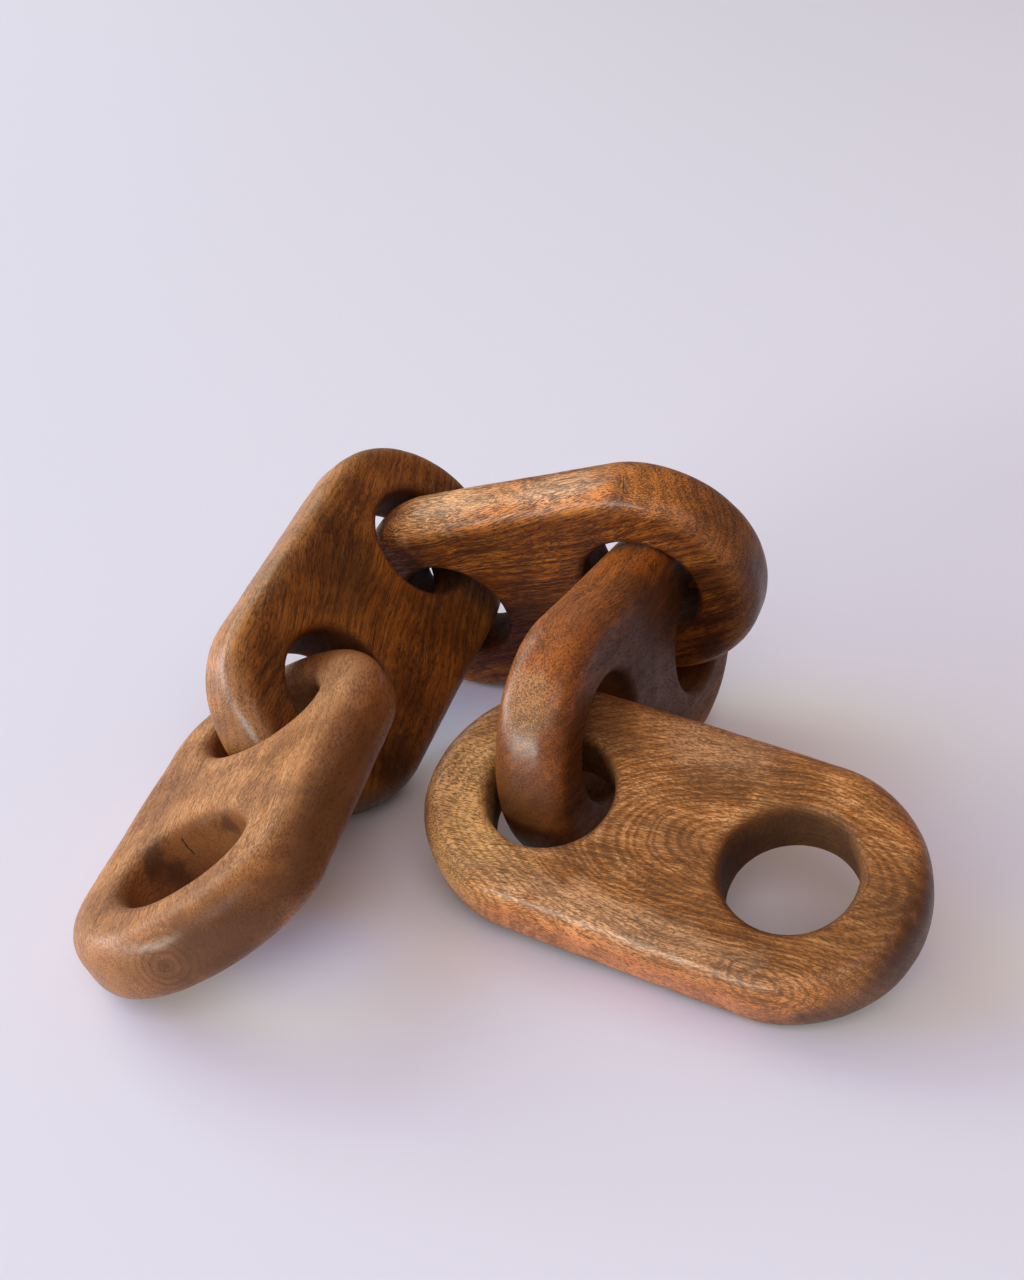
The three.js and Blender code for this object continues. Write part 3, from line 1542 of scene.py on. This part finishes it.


# The finishes of the five links follow, from the left end to the right end

# Light and even, with spots of painted shade in the free hole, painted shade on the right side and
# a ring mark on the near end
LIGHT_BROWN = OiledMango(
    name="oiled_mango_light_brown",
    slot="wood_link_1",
    pale="#c88c54",
    body="#a76d3a",
    deep="#774721",
    edge="#ac6e3b",
    pore="#502c13",
    patina="#82512a",
    slant=4.0,
    pith=(20.0, -60.0, 46.0),
    pith_stretch=6.0,
    ring_gap=3.4,
    ring_strength=0.05,
    ring_pores=0.03,
    band_strength=0.2,
    fleck=(2.0, 0.42),
    fleck_cover=0.45,
    fleck_strength=0.5,
    streak_length=9.0,
    streak_strength=0.35,
    patina_strength=0.45,
    roughness=0.44,
    stains_and_painted_light=(
        StainOrPaintedLight((-24.0, -38.0, -3.0), (64.0, 12.0, 14.0), "#502e18", 0.8),  # painted shade on the right side
        StainOrPaintedLight((-71.0, -20.0, -2.0), (19.0, 28.0, 12.0), "#482918", 0.8),  # painted shade on the near end, right
        StainOrPaintedLight((36.0, -12.0, 11.0), (26.0, 32.0, 9.0), "#cc9260", 0.5),  # pale far end
        StainOrPaintedLight((-26.3, 15.8, 7.5), (5.0, 6.0, 7.0), "#2c180e", 0.75),  # painted shade inside the free hole
        StainOrPaintedLight((-25.0, 15.0, -1.0), (7.0, 5.0, 5.0), "#2c180e", 0.7),  # painted shade inside the free hole
        StainOrPaintedLight((-18.8, -5.3, 4.6), (4.0, 5.0, 6.0), "#2c180e", 0.7),  # painted shade inside the free hole
    ),
    knots=(Knot((-74.7, -3.4, 0.0), 15.0, 2.2, 1.9, 0.55),),  # near end
    cracks=(
        Crack((-20.5, 9.5, 9.0), (-20.4, 9.1, 1.4), 0.3),  # inside the free hole
        Crack((13.7, -8.1, 11.3), (6.9, -11.8, 11.3), 0.4),  # between the holes
        Crack((-55.0, -10.0, 11.0), (-62.0, -13.5, 10.0), 0.3),  # near end
    ),
)

# Dark and reddish, with long slanting streaks and pale rubbed edges
DARK_RED_BROWN = OiledMango(
    name="oiled_mango_dark_red_brown",
    slot="wood_link_2",
    pale="#a26326",
    body="#834a15",
    deep="#542b08",
    edge="#c27d38",
    pore="#291106",
    patina="#56300f",
    slant=14.0,
    pith=(30.0, 50.0, -38.0),
    pith_stretch=9.0,
    ring_gap=2.6,
    ring_strength=0.1,
    ring_pores=0.06,
    band_strength=0.4,
    fleck=(3.2, 0.36),
    fleck_cover=0.5,
    fleck_strength=0.5,
    streak_length=14.0,
    streak_strength=0.5,
    patina_strength=0.45,
    roughness=0.42,
    stains_and_painted_light=(
        StainOrPaintedLight((-50.0, -34.0, 0.0), (26.0, 14.0, 14.0), "#20120d", 0.65),  # painted shade at the low corner, on the side
        StainOrPaintedLight((-45.0, -30.0, 11.0), (13.0, 9.0, 8.0), "#1e0e07", 0.6),  # painted shade at the low corner, on the face
        StainOrPaintedLight((-4.0, 13.0, 11.0), (15.0, 9.0, 8.0), "#442508", 0.5),  # between the holes
        StainOrPaintedLight((-34.0, -27.0, 4.0), (34.0, 16.0, 20.0), "#3f1e08", 0.35),  # painted shade on the low edge
        StainOrPaintedLight((-62.0, 12.0, 6.0), (14.0, 16.0, 14.0), "#72441d", 0.4),  # near end
    ),
)

# Dark flecks and streaks on orange, rubbed pale along the top edge, which carries a painted
# highlight, and painted shade on the right end
ORANGE_BROWN = OiledMango(
    name="oiled_mango_orange_brown",
    slot="wood_link_3",
    pale="#a35d1f",
    body="#783a10",
    deep="#4a2009",
    edge="#e88d36",
    pore="#291004",
    patina="#5a2a0c",
    slant=-4.0,
    pith=(0.0, 60.0, 40.0),
    pith_stretch=12.0,
    ring_gap=2.4,
    ring_strength=0.1,
    ring_pores=0.06,
    band_strength=1.0,
    fleck=(4.0, 0.36),
    fleck_cover=0.65,
    fleck_strength=0.65,
    streak_length=20.0,
    streak_strength=0.7,
    patina_strength=0.45,
    roughness=0.4,
    stains_and_painted_light=(
        StainOrPaintedLight((-30.0, -37.0, 0.0), (34.0, 9.0, 12.0), "#f0ac6c", 0.75),  # worn top edge with a painted highlight, left
        StainOrPaintedLight((60.0, 28.0, -8.0), (24.0, 14.0, 10.0), "#29140b", 0.5),  # painted shade on the low part of the right end
        StainOrPaintedLight((68.0, 8.0, -4.0), (12.0, 22.0, 16.0), "#371a0a", 0.6),  # painted shade on the right end
        StainOrPaintedLight((22.0, -38.0, -2.0), (20.0, 8.0, 9.0), "#eeb27c", 0.45),  # worn top edge with a painted highlight, right
        StainOrPaintedLight((0.0, 10.0, -10.0), (50.0, 20.0, 8.0), "#5a2b10", 0.45),  # near face
        StainOrPaintedLight((16.0, -29.0, -11.0), (34.0, 7.0, 5.0), "#55280f", 0.5),  # under the top edge
    ),
    cracks=(
        Crack((45.6, -37.2, -0.4), (47.6, -36.5, -6.6), 0.45),  # top edge
        Crack((56.2, -32.4, 4.4), (50.4, -35.7, 1.7), 0.3),  # top edge
    ),
)

# Broad red and brown bands, with a painted highlight on the near end and painted shade on the right
# face
RED_BROWN = OiledMango(
    name="oiled_mango_red_brown",
    slot="wood_link_4",
    pale="#a45b22",
    body="#814112",
    deep="#5b2c0a",
    edge="#b16122",
    pore="#2e1305",
    patina="#643e18",
    slant=0.0,
    pith=(-20.0, 44.0, 60.0),
    pith_stretch=8.0,
    ring_gap=4.2,
    ring_strength=0.06,
    ring_pores=0.05,
    band_strength=1.6,
    fleck=(3.0, 0.38),
    fleck_cover=0.55,
    fleck_strength=0.5,
    streak_length=16.0,
    streak_strength=0.8,
    patina_strength=0.55,
    roughness=0.42,
    stains_and_painted_light=(
        StainOrPaintedLight((67.0, -24.0, -1.0), (14.0, 11.0, 9.0), "#c0925f", 0.4),  # painted highlight on the near end
        StainOrPaintedLight((74.0, 8.0, 2.0), (14.0, 16.0, 16.0), "#432814", 0.5),  # low part of the near end
        StainOrPaintedLight((0.0, 0.0, 12.0), (84.0, 46.0, 7.0), "#2f1808", 0.8),  # painted shade on the right face
        StainOrPaintedLight((34.0, -38.0, 0.0), (30.0, 9.0, 12.0), "#a6581f", 0.4),  # worn top edge
    ),
)

# Tan, with fine growth rings in ovals between dense flecks, painted shade at the right end and
# painted highlights on the long edges
TAN_BROWN = OiledMango(
    name="oiled_mango_tan_brown",
    slot="wood_link_5",
    pale="#d2955c",
    body="#a8672f",
    deep="#6e411c",
    edge="#d18042",
    pore="#412613",
    patina="#7f5029",
    slant=6.0,
    pith=(30.0, -4.0, 4.0),
    pith_stretch=2.2,
    ring_gap=1.3,
    ring_strength=0.12,
    ring_pores=0.07,
    band_strength=0.7,
    fleck=(1.5, 0.36),
    fleck_cover=0.75,
    fleck_strength=0.5,
    streak_length=10.0,
    streak_strength=0.75,
    patina_strength=0.4,
    roughness=0.42,
    stains_and_painted_light=(
        StainOrPaintedLight((37.0, 16.0, 0.0), (24.0, 9.0, 14.0), "#24120a", 0.7),  # painted shade inside the free hole, back
        StainOrPaintedLight((19.0, -2.0, -1.0), (7.0, 16.0, 12.0), "#1c0e08", 0.75),  # painted shade inside the free hole, left
        StainOrPaintedLight((60.0, -31.0, -4.0), (18.0, 13.0, 9.0), "#3c1f0c", 0.8),  # painted shade on the right front corner
        StainOrPaintedLight((-56.0, -14.0, 8.0), (30.0, 28.0, 12.0), "#f2b971", 0.75),  # pale left end
        StainOrPaintedLight((2.0, 30.0, 9.0), (24.0, 12.0, 8.0), "#d39a69", 0.5),  # painted highlight on the back edge
        StainOrPaintedLight((-33.0, 30.0, 8.0), (15.0, 13.0, 10.0), "#4e2e18", 0.65),  # behind the left hole
        StainOrPaintedLight((64.0, -10.0, 6.0), (18.0, 30.0, 12.0), "#724b29", 0.45),  # right of the free hole
        StainOrPaintedLight((8.0, -40.0, 0.0), (64.0, 7.0, 9.0), "#c87446", 0.65),  # reddish front side, painted lighter where the lamps light it
        StainOrPaintedLight((79.0, -4.0, 3.0), (14.0, 46.0, 18.0), "#361a0b", 0.9),  # painted shade on the right end
        StainOrPaintedLight((0.0, -36.0, -10.0), (74.0, 10.0, 6.0), "#5d321a", 0.6),  # painted shade on the low part of the front side, under its curve
        StainOrPaintedLight((-26.0, 21.0, 11.0), (13.0, 7.0, 6.0), "#613c1e", 0.6),  # back rim of the left hole
        StainOrPaintedLight((12.0, -4.0, 11.0), (24.0, 7.0, 5.0), "#6f4527", 0.4),  # between the holes
        StainOrPaintedLight((-4.0, -31.0, 11.0), (58.0, 7.0, 5.0), "#deb084", 0.35),  # painted highlight on the front edge
    ),
    knots=(Knot((44.0, -33.0, 8.5), 13.0, 1.5, 0.1, 0.45, 2.0),),  # front edge
)


def main() -> None:
    """Build the chain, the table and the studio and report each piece."""
    logging.basicConfig(level=logging.INFO, format="%(name)s %(message)s")
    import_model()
    crisp = LinkBlank("crisp_blank")
    # The link at the left end is rubbed rounder than the others
    worn = LinkBlank(
        "worn_blank",
        edge_roll_width=8.5 * MM,
        rim_roll_width=4.5 * MM,
        rim_roll_depth=4 * MM,
        softening=12,
    )
    chain = CarvedChain(
        links=(
            CarvedLink("link_1_left_end", worn, Pose(79.5, 1.865, -29.5), LIGHT_BROWN),
            CarvedLink("link_2_leaning", crisp, Pose(70.5, 14.783, 46.5), DARK_RED_BROWN),
            CarvedLink("link_3_on_edge", crisp, Pose(-30.0, 20.271, -70.0), ORANGE_BROWN),
            CarvedLink("link_4_crossing", crisp, Pose(-115.5, 0.0, -84.5), RED_BROWN),
            CarvedLink("link_5_right_end", crisp, Pose(-30.0, -2.0, 27.189), TAN_BROWN),
        )
    )
    for piece in [*chain.build(), TableTop().build()]:
        LOG.info("%s: %d faces", piece.name, len(piece.data.polygons))
    Studio().build()


if __name__ == "__main__":
    main()
